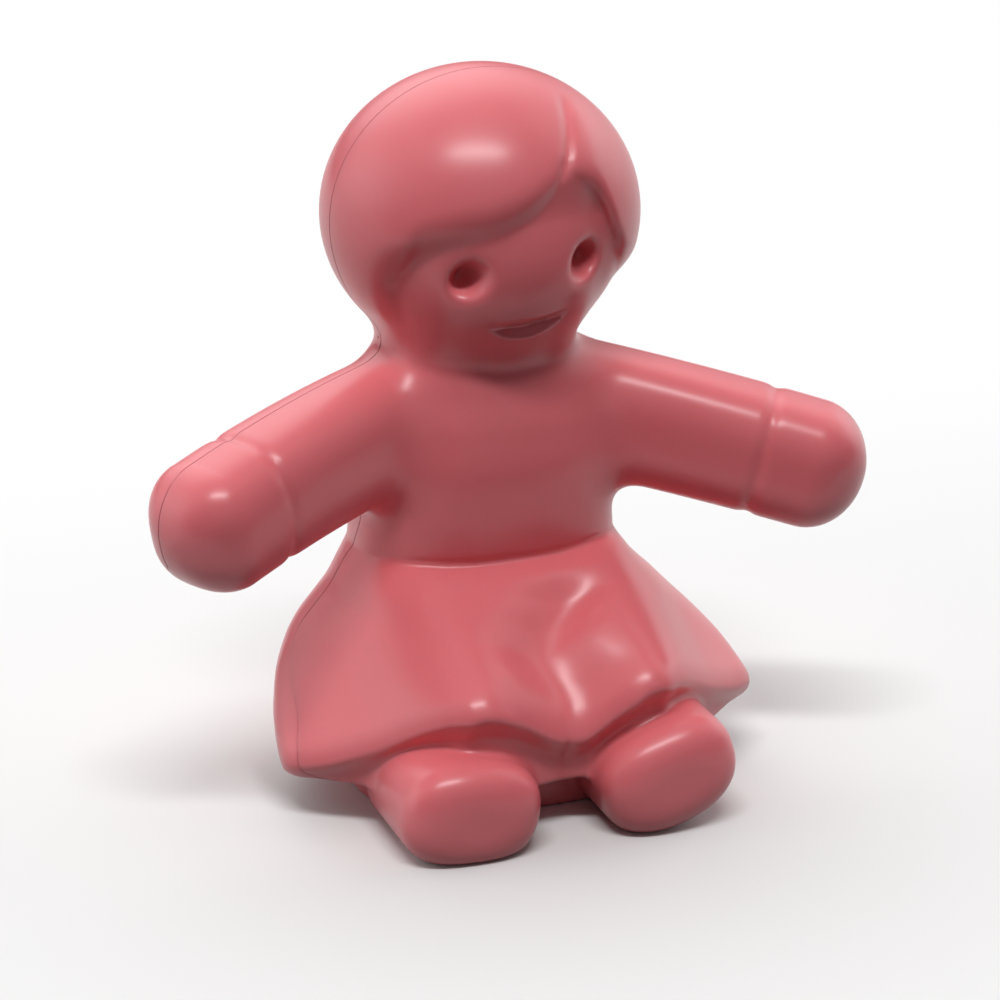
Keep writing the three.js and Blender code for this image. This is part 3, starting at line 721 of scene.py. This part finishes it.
# %% Floor
CARD_SIDE, CARD_FRONT, CARD_BACK = 400.0, -23.0, 500.0
CARD_SEEN, CARD_SENT, CARD_ROUGHNESS = "#efefef", "#757575", 0.9
WHITE_FROM, WHITE_TO = 3.0, 32.0


def card_material():
    """Card, mixed with white light of strength 1 by an eased step of the distance behind the doll, for the
    rays that see it: those of the camera, of reflections and of light that passes through something."""
    material = bpy.data.materials.new("white_card")
    material.use_nodes = True
    path = add_node(material, "ShaderNodeLightPath")
    rays = {0: (path, "Is Camera Ray"), 1: (path, "Is Glossy Ray")}
    direct = add_node(material, "ShaderNodeMath", {"operation": "ADD"}, rays)
    more_rays = {0: (direct, "Value"), 1: (path, "Is Transmission Ray")}
    seen = add_node(material, "ShaderNodeMath", {"operation": "ADD"}, more_rays)
    greys = {"data_type": "RGBA", "A": linear(CARD_SENT), "B": linear(CARD_SEEN)}
    colour = add_node(material, "ShaderNodeMix", greys, {"Factor": (seen, "Value")})
    shader = material.node_tree.nodes["Principled BSDF"]
    shader.inputs["Roughness"].default_value = CARD_ROUGHNESS
    material.node_tree.links.new(colour.outputs["Result"], shader.inputs["Base Color"])
    where = add_node(material, "ShaderNodeTexCoord")
    axes = add_node(material, "ShaderNodeSeparateXYZ", {}, {"Vector": (where, "Object")})
    span = {"interpolation_type": "SMOOTHSTEP", "From Min": WHITE_FROM * MM, "From Max": WHITE_TO * MM}
    far = add_node(material, "ShaderNodeMapRange", span, {"Value": (axes, "Y")})
    factors = {0: (far, "Result"), 1: (seen, "Value")}
    share = add_node(material, "ShaderNodeMath", {"operation": "MULTIPLY"}, factors)
    white = add_node(material, "ShaderNodeEmission", {"Color": linear("#ffffff"), "Strength": 1.0})
    layers = {0: (share, "Value"), 1: (shader, "BSDF"), 2: (white, "Emission")}
    mix = add_node(material, "ShaderNodeMixShader", {}, layers)
    output = material.node_tree.nodes["Material Output"]
    material.node_tree.links.new(mix.outputs["Shader"], output.inputs["Surface"])
    return material


card = np.array([(-CARD_SIDE, CARD_FRONT, 0), (CARD_SIDE, CARD_FRONT, 0),
                 (CARD_SIDE, CARD_BACK, 0), (-CARD_SIDE, CARD_BACK, 0)])
floor_mesh = bpy.data.meshes.new("floor")
floor_mesh.from_pydata(card * MM, [], [(0, 1, 2, 3)])
floor = bpy.data.objects.new("floor", floor_mesh)
bpy.context.scene.collection.objects.link(floor)
floor.data.materials.append(card_material())
print("floor:", 2 * CARD_SIDE, "by", CARD_BACK - CARD_FRONT, "mm")

# %% [markdown]
# ## Light
#
# The tops of the head, arms and lap are bright and the front is in soft shade, so most of the light comes
# from above and behind. One long narrow lamp, high in front, makes the streak on the hair and throws the
# shadows beside the doll. The rest could be more lamps, but each would leave a hard highlight of its own, so
# it is a room of soft bright patches.

# %% Light
STRIP_PLACE, STRIP_TARGET = (-50, -139, 317), (0, 0, 15)
STRIP_SIZE, STRIP_POWER = (200, 35), 0.58
ROOM_LIGHT = 0.02
PATCHES = {
    "above": (76, -165, 30, 0.7),
    "back": (42, 0, 40, 1.85),
    "right": (35, 75, 40, 1.0),
    "left": (35, -75, 40, 0.67),
    "low right": (5, 60, 40, 0.95),
    "low left": (5, -60, 40, 1.1),
    "front": (30, 180, 45, 0.22),
}


def facing(place, target):
    """The matrix of a lamp or camera that looks from a place to a target, both in millimetres."""
    way = Vector(target) - Vector(place)
    return Matrix.Translation(Vector(place) * MM) @ way.to_track_quat("-Z", "Y").to_matrix().to_4x4()


def room():
    """A world of soft patches, each with an elevation, an azimuth, which is 0 behind the doll, a radius in
    degrees and a strength: the sum of eased steps of the cosine of the angle to each patch's middle."""
    world = bpy.data.worlds.new("room")
    world.use_nodes = True
    where = add_node(world, "ShaderNodeTexCoord")
    total = add_node(world, "ShaderNodeValue")
    total.outputs["Value"].default_value = ROOM_LIGHT
    for elevation, azimuth, radius, strength in PATCHES.values():
        e, a = np.radians(elevation), np.radians(azimuth)
        dot = {"operation": "DOT_PRODUCT"}
        near = add_node(world, "ShaderNodeVectorMath", dot, {0: (where, "Generated")})
        near.inputs[1].default_value = (np.cos(e) * np.sin(a), np.cos(e) * np.cos(a), np.sin(e))
        rim = np.cos(np.radians(radius))
        span = {"interpolation_type": "SMOOTHSTEP", "From Min": rim, "From Max": 1.0, "To Max": strength}
        patch = add_node(world, "ShaderNodeMapRange", span, {"Value": (near, "Value")})
        terms = {0: (total, "Value"), 1: (patch, "Result")}
        total = add_node(world, "ShaderNodeMath", {"operation": "ADD"}, terms)
    background = world.node_tree.nodes["Background"]
    background.inputs["Color"].default_value = linear("#ffffff")
    world.node_tree.links.new(total.outputs["Value"], background.inputs["Strength"])
    return world


strip_data = bpy.data.lights.new("strip", "AREA")
strip_data.shape = "RECTANGLE"
strip_data.size = STRIP_SIZE[0] * MM
strip_data.size_y = STRIP_SIZE[1] * MM
strip_data.energy = STRIP_POWER
strip = bpy.data.objects.new("strip", strip_data)
strip.matrix_world = facing(STRIP_PLACE, STRIP_TARGET)
bpy.context.scene.collection.objects.link(strip)
bpy.context.scene.world = room()
bpy.context.scene.view_settings.view_transform = "Standard"
print("light: a strip of", STRIP_POWER, "W and", len(PATCHES), "patches")

# %% [markdown]
# ## Camera
#
# The picture is a close view: the camera stands 95 mm away, 19 degrees above level, and 20 degrees round to
# the doll's right. The lens is given as a ratio to the sensor's width, which is the ratio of the distance to
# the width of the view.

# %% Camera
AZIMUTH, ELEVATION, DISTANCE = np.radians(-20), np.radians(19), 95.0
AIM = np.array([0.66, 0.0, 7.9])
SENSOR_WIDTH, LENS_RATIO = 36.0, 3.135
NEAREST = 5.0

level = np.cos(ELEVATION)
back_way = np.array([np.sin(AZIMUTH) * level, -np.cos(AZIMUTH) * level, np.sin(ELEVATION)])
camera_place = AIM + DISTANCE * back_way
camera_data = bpy.data.cameras.new("camera")
camera_data.sensor_width = SENSOR_WIDTH
camera_data.lens = LENS_RATIO * SENSOR_WIDTH
camera_data.clip_start = NEAREST * MM
camera = bpy.data.objects.new("camera", camera_data)
camera.matrix_world = facing(camera_place, AIM)
bpy.context.scene.collection.objects.link(camera)
bpy.context.scene.camera = camera
print("camera at", np.round(camera_place, 1), "mm")
